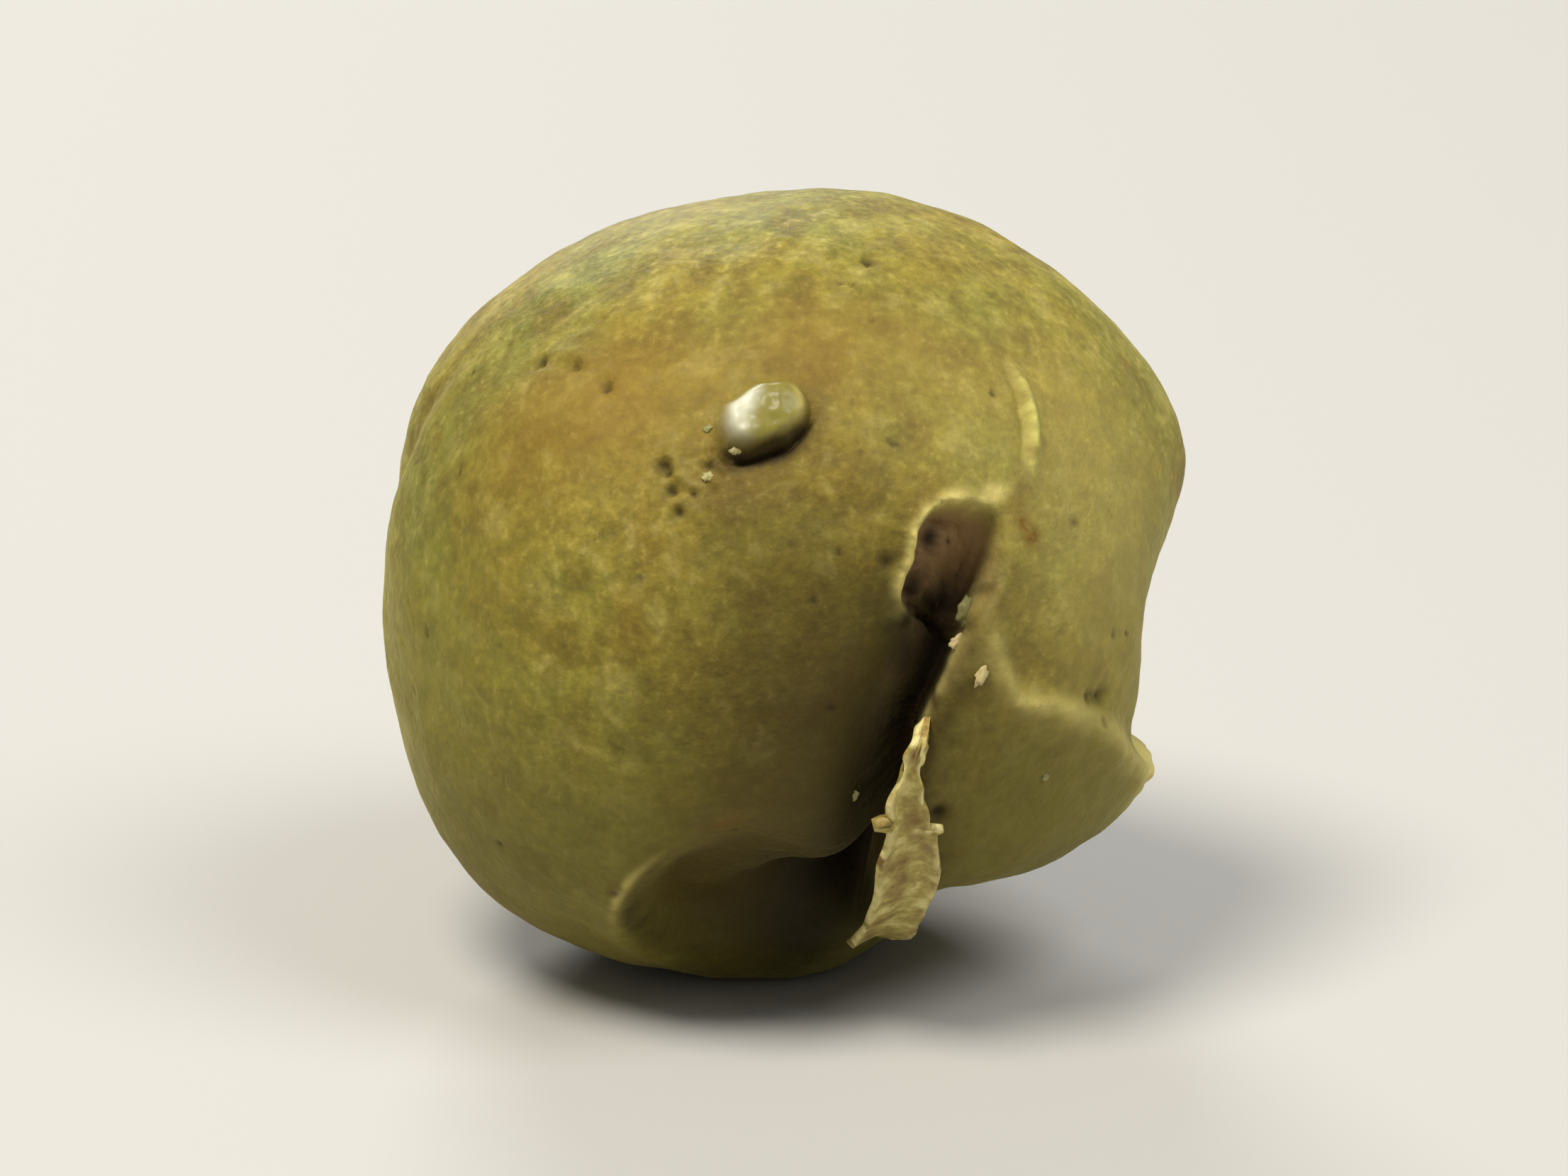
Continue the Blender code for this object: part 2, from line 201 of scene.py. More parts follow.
# Scar where the berry sat on its spike, and the wrinkles drawn in to it.
SCAR_BEARING = 176
SCAR_RISE = -38
SCAR_RADIUS = 0.55
SCAR_DEPTH = 0.20
SCAR_CUP = 0.7
SCAR_RIM = 0.10
SCAR_RIM_WIDTH = 0.35
SCAR_TINT_REACH = 1.1
WRINKLE_TURNS = (12, 66, 108, 161, 214, 263, 322)
WRINKLE_REACHES = (52, 75, 45, 68, 80, 48, 60)
WRINKLE_START = 9
WRINKLE_BEND = 9
WRINKLE_BEND_LENGTH = 90
WRINKLE_BEND_SHIFT = 3
WRINKLE_DEPTH = 0.13
WRINKLE_HALF_WIDTH = 0.17

# Fine creases on the front: the streak beside the ridge over the torn place, and a short one, upper left.
FINE_CREASES = (
    (((47.9, 46), (46.5, 40), (43.3, 33.5), (38.6, 28)), -0.035, 0.028),
    (((-59, 41), (-52, 44.5), (-43, 45), (-33, 43)), -0.022, 0.035),
    (((-59, 43), (-52, 46.2), (-43, 46.6), (-34, 45)), 0.012, 0.05),
)

# Each pit that shows in front: bearing, rise, radius, depth. More are strewn over the skin.
PITS = (
    (-20.2, 33.0, 0.06, 0.06),
    (-19.3, 31.9, 0.04, 0.04),
    (-18.1, 29.4, 0.05, 0.06),
    (-16.3, 26.5, 0.035, 0.04),
    (-12.5, 33.5, 0.035, 0.04),
    (-14.4, 29.2, 0.025, 0.03),
    (-55.6, 44.3, 0.05, 0.05),
    (-36.0, 43.0, 0.045, 0.05),
    (30.5, 66.8, 0.05, 0.05),
    (50.6, -5.1, 0.06, 0.05),
    (48.1, -4.5, 0.05, 0.05),
    (15.0, 20.0, 0.055, 0.03),
    (24.4, -19.4, 0.07, 0.05),
)
STREWN_PITS = 80
STREWN_SEED = 11
STREWN_RADIUS = (0.014, 0.036)
STREWN_DEPTH_SHARE = 0.6
SPECK_REACH = 0.9

# Fine relief: shallow dents, leathery grain, a crust beside the nub, and rough torn flesh inside the split.
DENT_LENGTH = 0.55
DENT_HEIGHT = 0.018
GRAIN_LENGTH = 0.16
GRAIN_HEIGHT = 0.006
CRUST = (-15.5, 31.0, 0.34, 0.17, 35)
CRUST_LENGTH = 0.07
CRUST_HEIGHT = 0.03
TORN_LENGTH = 0.13
TORN_HEIGHT = 0.035

# Where the skin's tint differs, in soft ovals: bearing, rise, half length, half width, turn, strength. The
# dark places are painted shade, nearly black, inside the torn place, the split and the hollow, and the light
# ones are on the torn place's upper rim.
DARK_SHADE_PLACES = (
    (20.0, 17.0, 0.16, 0.10, 45, 1.0),
    (24.4, 14.8, 0.36, 0.17, 8, 1.0),
    (21.5, 11.0, 0.30, 0.22, 20, 1.0),
    (17.4, 12.6, 0.24, 0.11, 45, 1.0),
    (16.4, 5.5, 0.48, 0.17, 82, 0.95),
    (30.0, 14.8, 0.10, 0.07, 20, 1.0),
    (23.6, 23.0, 0.09, 0.07, 60, 1.0),
    (9, -46, 0.62, 0.6, 0, 1.0),
    (6, -60, 0.7, 0.45, 0, 0.9),
    (14, -54, 0.7, 0.5, 0, 1.0),
    (14, -36, 0.7, 0.28, 85, 0.95),
    (13, -25, 0.6, 0.16, 90, 0.9),
)
LIGHT_PLACES = (
    (33.0, 27.0, 0.13, 0.055, 8, 1.0),
    (26.8, 27.5, 0.11, 0.05, 12, 0.9),
)
RUST_PLACES = (
    (37.4, 22.4, 0.06, 0.045, 60, 1.0),
    (38.8, 20.2, 0.08, 0.055, 30, 1.0),
    (37.2, 24.5, 0.16, 0.10, 60, 0.5),
    (-9.2, -20.8, 0.10, 0.07, 10, 0.6),
    (-45, 34, 0.30, 0.14, 20, 0.35),
    (8, 48, 0.20, 0.12, 40, 0.3),
    (-22, 12, 0.22, 0.12, 70, 0.3),
)
GREEN_PLACES = ((-58, -4, 1.5, 1.1, 80, 1.0), (-20, -18, 0.8, 0.5, 60, 0.8))
OCHRE_PLACES = ((-38, 40, 1.0, 0.6, 20, 1.0), (14, 52, 0.9, 0.5, -10, 0.8))
# Painted shade, browner, over the middle of the front down to the split.
SHADED_PLACE = (6, -4, 1.9, 1.0, 98)
PALE_PLACE = (56, 18, 1.5, 1.1, 90)
FACET_PLACE = (42, -20, 1.2, 0.85, -25)
# Painted shade: the skin is darker olive from this height down.
UNDERSIDE_SHADE_START = -0.22
UNDERSIDE_SHADE_SOFTNESS = 0.13

# Where in the noise each uneven form is read, so that no two of them are alike.
NOISE_PLACES = {
    "waves": (3.0, 8.1, -3.9),
    "worn": (1.1, 4.0, -5.2),
    "lobe lip": (5.5, -1.2, 6.0),
    "tear": (0.7, 5.2, 3.3),
    "ridge": (8.1, 3.3, -0.4),
    "ridge foot": (-1.9, 5.1, 3.0),
    "nub": (2.7, 1.2, -3.3),
    "nub lumps": (7.7, 0.2, 1.1),
    "streak": (0.2, 6.1, 2.9),
    "rust": (6.3, -3.1, 0.8),
    "dents": (1.5, -4.2, 9.0),
    "grain": (-7.1, 2.2, 0.4),
    "crust": (3.1, 9.2, 0.5),
    "torn flesh": (4.4, 0.3, -2.8),
}

# Mesh of the body: a cube rounded to a ball, and the oval patches where it is twice and four times as fine.
BODY_CUTS = 93
FINE_PATCHES = (
    (20, -8, 1.9, 0.85, 97),
    (-4, 41, 0.62, 0.56, 0),
    (-12, -40, 1.35, 0.95, 0),
    (-15.5, 31, 0.5, 0.35, 30),
    (48, 38, 0.6, 0.4, 90),
    (80, -20, 1.4, 0.42, -16),
    (176, -38, 0.85, 0.85, 0),
)
FINEST_PATCHES = (
    (-4, 41, 0.48, 0.40, 35),
    (26.5, 21, 0.55, 0.47, 62),
    (20.5, -6, 1.2, 0.30, 97),
    (92, -23.5, 0.65, 0.2, -8),
)


def toward(bearing, rise):
    """Unit vector from the berry's middle to a place on its skin."""
    b, e = math.radians(bearing), math.radians(rise)
    return np.array((math.cos(e) * math.sin(b), -math.cos(e) * math.cos(b), math.sin(e)))


def around(ways, bearing, rise):
    """Angle of each direction from a place on the skin, and its turn round that place, both in radians."""
    out = toward(bearing, rise)
    east = toward(bearing + 90, 0)
    north = np.cross(out, east)
    return np.arccos(np.clip(ways @ out, -1, 1)), np.arctan2(ways @ north, ways @ east)


def spread(ways, bearing, rise, half_length, half_width, turn):
    """How many half sizes of an oval patch each direction lies from its middle, along the skin."""
    angle, direction = around(ways, bearing, rise)
    far = MEAN_RADIUS / MM * angle
    off = direction - math.radians(turn)
    return far * np.hypot(np.cos(off) / half_length, np.sin(off) / half_width)


def facing(direction, turn):
    """1 for the directions round a place that point along a turn, falling to 0 square to it and behind."""
    return np.clip(np.cos(direction - math.radians(turn)), 0, 1)


def smooth_route(points, steps=6):
    """A Catmull-Rom curve through the points of a route, as an array."""
    p = np.array([2 * points[0] - points[1], *points, 2 * points[-1] - points[-2]])
    route = []
    for a, b, c, d in zip(p, p[1:], p[2:], p[3:]):
        for k in range(steps):
            t = k / steps
            route.append(0.5 * (2 * b + (c - a) * t + (2 * a - 5 * b + 4 * c - d) * t * t
                                + (3 * b - a - 3 * c + d) * t ** 3))
    return np.array(route + [points[-1]])


def beside(ways, places):
    """Share of the way along a route on the skin, millimetres to its right going down, and the way right."""
    route = smooth_route([toward(*place) for place in places])
    nearest = np.full(len(ways), 9.0)
    share = np.zeros(len(ways))
    side = np.zeros(len(ways))
    right = np.zeros((len(ways), 3))
    for k, (a, b) in enumerate(zip(route, route[1:])):
        run = b - a
        t = np.clip((ways - a) @ run / (run @ run), 0, 1)
        apart = ways - a - t[:, None] * run
        far = np.linalg.norm(apart, axis=1)
        hit = far < nearest
        across = np.cross(a, run)
        nearest[hit] = far[hit]
        share[hit] = (k + t[hit]) / (len(route) - 1)
        side[hit] = np.sign(ways[hit] @ across)
        right[hit] = across / np.linalg.norm(across)
    return share, side * nearest * MEAN_RADIUS / MM, right


def bell(x):
    """1 at the middle, falling smoothly to nothing past 2."""
    return np.exp(-x * x)


def step_down(x):
    """1 well below nothing, half at nothing, and 0 well above it."""
    return 1 / (1 + np.exp(np.clip(x, -40, 40)))


def unevenness(ways, length, name, octaves=2):
    """Noise between about -1 and 1 in each direction, with waves of the given length in millimetres."""
    waves = MEAN_RADIUS / MM / length
    offset = Vector(NOISE_PLACES[name])
    return np.array([noise.fractal(Vector(way) * waves + offset, 1.0, 2.0, octaves) for way in ways])


def patches_sum(ways, patches):
    """Soft ovals added up, each with the height or strength that ends its row."""
    return sum(amount * bell(spread(ways, *place)) for *place, amount in patches)


def patches_top(ways, patches, ragged=1):
    """The strongest of the soft ovals in each direction."""
    return np.max([amount * bell(spread(ways, *place) * ragged) for *place, amount in patches], axis=0)


def lines_form(ways, lines):
    """Height of the ridges and creases that run along routes, each fading out towards its ends."""
    height = np.zeros(len(ways))
    for route, rise_by, half_width in lines:
        share, side, _ = beside(ways, route)
        height += rise_by * bell(side / half_width) * np.sin(np.pi * share)
    return height


def lighten(masks, values):
    """Adds to the mask of pale edges: worn ones, and some painted highlights."""
    masks["lip"] = np.maximum(masks["lip"], values)


def split_form(ways, worn, masks):
    """The split: a slope on its left, a steep wall on its right, and over it the lobe's lip, which leans out.

    Gives its height, how far each place is moved left, the way right, and how far inside the split it is.
    """
    share, side, right = beside(ways, SPLIT_ROUTE)
    depth = np.interp(share, SPLIT_STOPS, SPLIT_DEPTHS)
    slope = np.interp(share, SPLIT_STOPS, SPLIT_SLOPES)
    full = depth / max(SPLIT_DEPTHS)
    wall = step_down((side - SPLIT_WALL) / SPLIT_WALL_SOFTNESS)
    sunk = np.where(side < 0, bell(side / slope), wall)
    lip = LOBE_LIP_HEIGHT * np.exp(-np.maximum(side - SPLIT_WALL, 0) / LOBE_LIP_FADE) * full
    lip *= 1 + LOBE_LIP_UNEVEN * unevenness(ways, 0.3, "lobe lip")
    height = lip * (1 - wall) - depth * sunk
    lean = LOBE_LIP_OVERHANG * full * (1 - wall) * bell((side - SPLIT_WALL) / LOBE_LIP_ROLL)
    lean -= SPLIT_UNDERCUT * full * sunk
    inside = np.clip(np.where(side < 0, bell(side / slope) * 2.4 - 0.9, wall), 0, 1)
    inside *= np.clip(depth * 4 - 0.8, 0, 1)
    rubbed = bell((side - SPLIT_WALL) / LOBE_LIP_PALE_WIDTH) * worn
    masks["lip"] = full * (1 - wall) * rubbed * np.clip(6 - 10 * share, 0, 1)
    # Painted shade, nearly black, deep in the split.
    shift = SPLIT_BLACK_SHIFT + SPLIT_BLACK_LOW_SHIFT * np.clip(5 * share - 2, 0, 1)
    masks["deep"] = bell((side + shift) / SPLIT_BLACK_WIDTH) * np.clip(depth * 3.4 - 1.2, 0, 1)
    # Painted shade, browner, down the split's left slope and its wall.
    masks["hollow"] = 0.7 * np.where(side < 0, bell(side / slope * 1.2), wall) * full
    return height, lean, right, inside


def tear_form(ways, worn, masks):
    """The torn place: its height, and how far inside it each direction is."""
    angle, direction = around(ways, *TEAR_MIDDLE)
    far = 0
    for turn, reach in TEAR_SIDES:
        beyond = MEAN_RADIUS / MM * angle * np.cos(direction - math.radians(turn)) / reach
        far = far + np.clip(beyond, 0, 9) ** TEAR_SHARPNESS
    far = far ** (1 / TEAR_SHARPNESS)
    far += TEAR_RAGGED * unevenness(ways, TEAR_RAGGED_LENGTH, "tear")
    tear = step_down(TEAR_STEEPNESS * (far - 1))
    rim = np.clip(np.cos(direction - math.radians(TEAR_RIM_TURN)) * 2.5 + 0.45, 0, 1)
    rim *= bell((far - TEAR_RIM_AT) / TEAR_RIM_WIDTH)
    lighten(masks, rim * (0.3 + 0.7 * worn))
    lighten(masks, patches_top(ways, LIGHT_PLACES) * (1 - tear))
    return TEAR_RIM * rim * (0.3 + worn) - TEAR_DEPTH * tear, tear


def corner_form(ways, worn, masks):
    """The right lobe's ridge and pointed corner."""
    share, side, _ = beside(ways, CORNER_ROUTE)
    widths = np.where(side < 0, np.interp(share, CORNER_STOPS, CORNER_WIDTHS_UNDER),
                      np.interp(share, CORNER_STOPS, CORNER_WIDTHS_OVER))
    ridge = np.interp(share, CORNER_STOPS, CORNER_HEIGHTS) * bell(side / widths)
    ridge *= 1 + CORNER_UNEVEN * unevenness(ways, 0.2, "ridge")
    foot = CORNER_FOOT + CORNER_FOOT * unevenness(ways, 0.12, "ridge foot")
    below = step_down((side + foot) / CORNER_FOOT_SOFTNESS)
    masks["worn"] = np.minimum(ridge / CORNER_WORN_HEIGHT, 1) * (1 - 0.75 * below)
    masks["facet"] = bell(spread(ways, *FACET_PLACE)) * (0.25 + 0.75 * below)
    # Painted highlight, with wear, on the corner's tip.
    tip = bell((share - TIP_SHARE) / TIP_SHARE_REACH) * bell(side / np.where(side < 0, TIP_UNDER, TIP_OVER))
    lighten(masks, np.clip(tip * (0.95 + 0.5 * worn), 0, 1))
    return ridge


def pit_form(ways, worn, masks):
    """The hollow at the bottom of the front."""
    far = spread(ways, PIT_BEARING, PIT_RISE, PIT_HALF_LENGTH, PIT_HALF_WIDTH, PIT_TURN)
    _, direction = around(ways, PIT_BEARING, PIT_RISE)
    leftward = facing(direction, 180) ** 2
    steepness = PIT_STEEPNESS + (PIT_LEFT_STEEPNESS - PIT_STEEPNESS) * leftward
    pit = step_down(steepness * (far - PIT_WALL))
    # Painted highlight along the upper left of the lip, broken by wear.
    span = (direction - math.radians(PIT_PALE_TURN)) / math.radians(PIT_PALE_SPAN)
    lighten(masks, bell((far - PIT_PALE_AT) / PIT_PALE_WIDTH) * bell(span) * (0.1 + 0.6 * worn))
    # Painted shade along the inside of the lip's left side.
    edge = leftward * bell((far - PIT_CREASE_AT) / PIT_CREASE_WIDTH)
    masks["crease"] = np.clip(edge * (1.1 - 0.6 * worn), 0, 1)
    # Painted shade, browner, over the inside of the pit.
    masks["hollow"] += pit
    return PIT_LIP * leftward * bell((far - PIT_LIP_AT) / PIT_LIP_WIDTH) - PIT_DEPTH * pit


def nub_form(ways, worn, masks):
    """The nub of the style: its height with the crease under it, and how far on the nub each direction is."""
    far = spread(ways, NUB_BEARING, NUB_RISE, NUB_HALF_LENGTH, NUB_HALF_WIDTH, NUB_TURN)
    far += NUB_RAGGED * unevenness(ways, NUB_RAGGED_LENGTH, "nub")
    nub = step_down(NUB_STEEPNESS * (far - 1))
    _, direction = around(ways, NUB_BEARING, NUB_RISE)
    under = facing(direction, NUB_UNDER_TURN)
    lit = facing(direction, NUB_LIT_TURN) ** 1.5
    dome = 0.9 + 0.16 * lit * bell((far - 0.7) / 0.25) + 0.05 * bell(far / 0.5)
    dome += NUB_LUMPS * unevenness(ways, NUB_LUMP_LENGTH, "nub lumps")
    masks["nub"] = nub
    # Painted highlight, nearly white, on the nub's left.
    masks["nub_highlight"] = nub * lit * bell((far - 0.7) / 0.3) * (0.7 + 0.3 * worn)
    edge = bell((far - NUB_EDGE_AT) / NUB_EDGE_WIDTH) * facing(direction, NUB_EDGE_TURN) ** 2
    lighten(masks, 0.5 * edge * worn)
    # Painted shadow beyond the nub's lower right.
    shade = under ** 1.5 * bell((far - NUB_SHADE_AT) / NUB_SHADE_WIDTH) * 2.2
    masks["crease"] = np.maximum(masks["crease"], np.clip(shade, 0, 1))
    crease = NUB_CREASE * under * bell((far - NUB_CREASE_AT) / NUB_CREASE_WIDTH)
    return NUB_HEIGHT * nub * dome - crease, nub


def scar_form(ways, masks):
    """The scar of the stalk, a shallow cup with a rim, and the wrinkles that run out from it."""
    angle, direction = around(ways, SCAR_BEARING, SCAR_RISE)
    far = MEAN_RADIUS / MM * angle / SCAR_RADIUS
    height = SCAR_RIM * bell((far - 1) / SCAR_RIM_WIDTH) - SCAR_DEPTH * bell(far / SCAR_CUP)
    masks["scar"] = bell(far / SCAR_TINT_REACH)
    angle, direction = np.degrees(angle), np.degrees(direction)
    for start, reach in zip(WRINKLE_TURNS, WRINKLE_REACHES):
        bend = np.sin(np.radians(360 / WRINKLE_BEND_LENGTH * angle + WRINKLE_BEND_SHIFT * start))
        middle = start + WRINKLE_BEND * bend
        off = (direction - middle + 180) % 360 - 180
        side = np.radians(off) * np.sin(np.radians(angle)) * MEAN_RADIUS / MM
        taper = np.clip(1 - angle / reach, 0, 1) * np.clip(angle / WRINKLE_START - 1, 0, 1)
        height -= WRINKLE_DEPTH * taper * bell(side / WRINKLE_HALF_WIDTH)
    return height


def pits_form(ways, masks):
    """The pits that show in front and the smaller ones strewn over the skin, with a dark speck in each."""
    chance = random.Random(STREWN_SEED)
    pits = list(PITS)
    for _ in range(STREWN_PITS):
        way = Vector([chance.gauss(0, 1) for _ in range(3)]).normalized()
        radius = chance.uniform(*STREWN_RADIUS)
        bearing, rise = math.degrees(math.atan2(way.x, way.y)), math.degrees(math.asin(way.z))
        pits.append((bearing, rise, radius, STREWN_DEPTH_SHARE * radius))
    height = np.zeros(len(ways))
    masks["speck"] = np.zeros(len(ways))
    for bearing, rise, radius, depth in pits:
        far = np.linalg.norm(ways - toward(bearing, rise), axis=1) * MEAN_RADIUS / MM / radius
        height -= depth * bell(far)
        masks["speck"] = np.maximum(masks["speck"], bell(far / SPECK_REACH))
    return height


def fine_relief(ways, rough):
    """Dents, grain, crust and torn flesh, the last as strong as each direction is rough."""
    height = DENT_HEIGHT * unevenness(ways, DENT_LENGTH, "dents")
    height += GRAIN_HEIGHT * unevenness(ways, GRAIN_LENGTH, "grain")
    height += CRUST_HEIGHT * bell(spread(ways, *CRUST)) * unevenness(ways, CRUST_LENGTH, "crust", 3)
    return height + TORN_HEIGHT * rough * unevenness(ways, TORN_LENGTH, "torn flesh", 3)


def tint_places(ways, masks):
    """Masks of the places where the skin's tint differs, and of its painted shade, once those of the forms
    are known.
    """
    # Painted shade, browner, over the middle of the front.
    masks["hollow"] = np.clip(masks["hollow"] + bell(spread(ways, *SHADED_PLACE)), 0, 1)
    # Painted shade, nearly black, in the dark places.
    masks["deep"] = np.maximum(masks["deep"], patches_top(ways, DARK_SHADE_PLACES))
    masks["rust"] = patches_top(ways, RUST_PLACES, 1 + 0.5 * unevenness(ways, 0.1, "rust"))
    # Painted shade: darker towards the bottom.
    masks["under"] = step_down((ways[:, 2] - UNDERSIDE_SHADE_START) / UNDERSIDE_SHADE_SOFTNESS)
    masks["green"] = patches_sum(ways, GREEN_PLACES)
    masks["ochre"] = patches_sum(ways, OCHRE_PLACES)
    masks["pale"] = bell(spread(ways, *PALE_PLACE)) * (1 - masks["hollow"])
    masks["facet"] *= 1 - masks["hollow"]
    share, side, _ = beside(ways, FOLDS[0][0])
    broken = np.clip(0.6 + 1.3 * unevenness(ways, 0.11, "streak"), 0, 1)
    masks["streak"] = bell(side / STREAK_HALF_WIDTH) * np.sin(np.pi * share) * broken


def berry_form(ways):
    """Each direction's place on the skin, in metres from the berry's middle, and the skin's masks."""
    masks = {}
    worn = np.clip(0.75 + 1.4 * unevenness(ways, 0.14, "worn"), 0, 1)
    height = patches_sum(ways, SWELLS) + WAVE_HEIGHT * unevenness(ways, WAVE_LENGTH, "waves")
    height += lines_form(ways, FOLDS)
    split, lean, right, inside = split_form(ways, worn, masks)
    torn, tear = tear_form(ways, worn, masks)
    height += split + torn + corner_form(ways, worn, masks) + pit_form(ways, worn, masks)
    style, nub = nub_form(ways, worn, masks)
    height += style + scar_form(ways, masks) + lines_form(ways, FINE_CREASES) + pits_form(ways, masks)
    masks["torn"] = np.maximum(tear, inside)
    rough = np.maximum(np.maximum(tear, 0.3 * inside), 0.5 * masks["scar"])
    height += fine_relief(ways, rough)
    tint_places(ways, masks)

    halves = np.array((BERRY_WIDTH, BERRY_DEPTH, BERRY_HEIGHT)) / 2
    places = ways / np.linalg.norm(ways / halves, axis=1)[:, None] + ways * height[:, None] * MM
    places -= right * lean[:, None] * MM
    downward = toward(NUB_BEARING + NUB_LEAN_STEP, NUB_RISE - NUB_LEAN_STEP) - toward(NUB_BEARING, NUB_RISE)
    places += downward / np.linalg.norm(downward) * (nub * NUB_LEAN)[:, None] * MM
    return places, masks


def refine(bm, patches):
    """Halve the mesh's edges inside oval patches of the skin."""
    bm.verts.index_update()
    ways = np.array([v.co.normalized() for v in bm.verts])
    near = np.min([spread(ways, *patch) for patch in patches], axis=0) < 1
    edges = [e for e in bm.edges if near[e.verts[0].index] and near[e.verts[1].index]]
    bmesh.ops.subdivide_edges(bm, edges=edges, cuts=1, use_grid_fill=True)


def as_object(name, bm, smooth=True):
    """The mesh as an object at the origin."""
    mesh = bpy.data.meshes.new(name)
    bm.to_mesh(mesh)
    bm.free()
    if smooth:
        mesh.shade_smooth()
    thing = bpy.data.objects.new(name, mesh)
    bpy.context.scene.collection.objects.link(thing)
    return thing


ball = bmesh.new()
bmesh.ops.create_cube(ball, size=2)
bmesh.ops.subdivide_edges(ball, edges=ball.edges[:], cuts=BODY_CUTS, use_grid_fill=True)
for vert in ball.verts:
    # Even angles between the cube's rows keep the squares alike in size once they are on the ball.
    vert.co = Vector([math.tan(c * math.pi / 4) for c in vert.co]).normalized()
refine(ball, FINE_PATCHES)
refine(ball, FINEST_PATCHES)
ways = np.array([v.co.normalized() for v in ball.verts])
places, masks = berry_form(ways)

# The body is set down as the solid is: pressed flat at the bottom, and with its middle over the origin.
centre = (places.min(axis=0) + places.max(axis=0)) / 2
SET_DOWN = np.array((-centre[0], -centre[1], -(places[:, 2].min() + REST_FLAT_DEPTH)))
places += SET_DOWN
places[:, 2] = np.maximum(places[:, 2], 0)
for vert, place in zip(ball.verts, places):
    vert.co = place
bmesh.ops.recalc_face_normals(ball, faces=ball.faces[:])
berry = as_object("berry_skin", ball)
for name, values in masks.items():
    layer = berry.data.attributes.new(name, "FLOAT", "POINT")
    layer.data.foreach_set("value", np.clip(values, 0, 1).astype(np.float32))


def tone(code):
    """An sRGB hex colour as linear red, green, blue and alpha."""
    parts = [int(code[k:k + 2], 16) / 255 for k in (1, 3, 5)]
    return (*(c / 12.92 if c <= 0.04045 else ((c + 0.055) / 1.055) ** 2.4 for c in parts), 1)


def add(tree, kind, inputs=None, out=0, stops=None, **settings):
    """Adds a node: settings are its properties, inputs its values or feeds, stops a ramp's colours."""
    made = tree.nodes.new(kind)
    for name, value in settings.items():
        setattr(made, name, value)
    for name, value in (inputs or {}).items():
        if isinstance(value, bpy.types.NodeSocket):
            tree.links.new(value, made.inputs[name])
        else:
            made.inputs[name].default_value = value
    if stops:
        while len(made.color_ramp.elements) < len(stops):
            made.color_ramp.elements.new(0.5)
        for element, (place, colour) in zip(made.color_ramp.elements, stops):
            element.position = place
            element.color = tone(colour)
    return made.outputs[out] if made.outputs else made


def per(length):
    """Texture scale that gives a pattern of the given length in millimetres."""
    return 1 / (length * MM)


def begin_material(name):
    """A material with no nodes but the one that gives the place on the object, its tree and that place."""
    material = bpy.data.materials.new(name)
    material.use_nodes = True
    material.node_tree.nodes.clear()
    return material, material.node_tree, add(material.node_tree, "ShaderNodeTexCoord", out="Object")


# Dried pericarp: the berry's skin, shrunk and matt, olive with yellow, green and brown blotches and fine dark
# specks. Its edges are worn pale, some with painted highlights, and the torn flesh in the split is fibrous.
# Painted shade makes its hollows browner, its underside darker and the depths of the split, the torn place
# and the hollow nearly black; the nub has a painted highlight on its left and a painted shadow under it.
SKIN_OLIVE = "#8c7f2f"
SKIN_GREEN = "#7b7a31"
SKIN_OCHRE = "#8e7b2b"
SKIN_AMBER = "#90712a"
SKIN_BROWN = "#70591f"
SKIN_PATCH = "#6d5a24"
SKIN_PALE = "#b9ab60"
RIM_YELLOW = "#dccb78"
LOBE_PALE = "#aa9d56"
# Olive of the lobe's facet, also the painted shade of the underside.
FACET_OLIVE_AND_SHADE = "#6b6222"
# Painted shade of the hollows.
HOLLOW_SHADE = "#47380f"
RUST_BROWN = "#6a460b"
# Dark of the specks, also the painted shadow under the nub and painted shade inside the pit's lip.
SPECK_AND_SHADE_DARK = "#2c1f0d"
FLESH_BROWN = "#90724c"
# Painted shade, nearly black, deep in the split, the torn place and the hollow.
SHADE_BLACK = "#120b05"
SCAR_BROWN = "#5e3f20"
NUB_GREEN = "#847f3e"
# Painted highlight on the nub's left.
NUB_HIGHLIGHT = "#f1f1da"
STREAK_GREEN = "#d8d070"
SKIN_BLOOM = "#e8dc8c"

# What the masks lay over the skin, one over the other: mask, share at its full strength, colour.
SKIN_LAYERS = (
    ("green", 0.45, SKIN_GREEN),
    ("ochre", 0.6, SKIN_AMBER),
    ("pale", 0.6, LOBE_PALE),
    ("facet", 0.6, FACET_OLIVE_AND_SHADE),
    # painted shade, darker towards the bottom
    ("under", 0.7, FACET_OLIVE_AND_SHADE),
    # painted shade of the hollows, browner
    ("hollow", 0.9, HOLLOW_SHADE),
    ("rust", 0.95, RUST_BROWN),
    ("nub", 0.7, NUB_GREEN),
    # painted highlight on the nub's left
    ("nub_highlight", 0.9, NUB_HIGHLIGHT),
    # painted shadow under the nub and painted shade inside the pit's lip
    ("crease", 0.9, SPECK_AND_SHADE_DARK),
    ("worn", 0.85, SKIN_PALE),
    ("scar", 0.9, SCAR_BROWN),
    ("torn", 0.95, FLESH_BROWN),
    # painted shade, nearly black
    ("deep", 0.95, SHADE_BLACK),
    # pale edges: worn, with painted highlights on the pit's lip and the corner's tip
    ("lip", 0.9, RIM_YELLOW),
    ("streak", 0.85, STREAK_GREEN),
    ("speck", 0.85, SPECK_AND_SHADE_DARK),
)

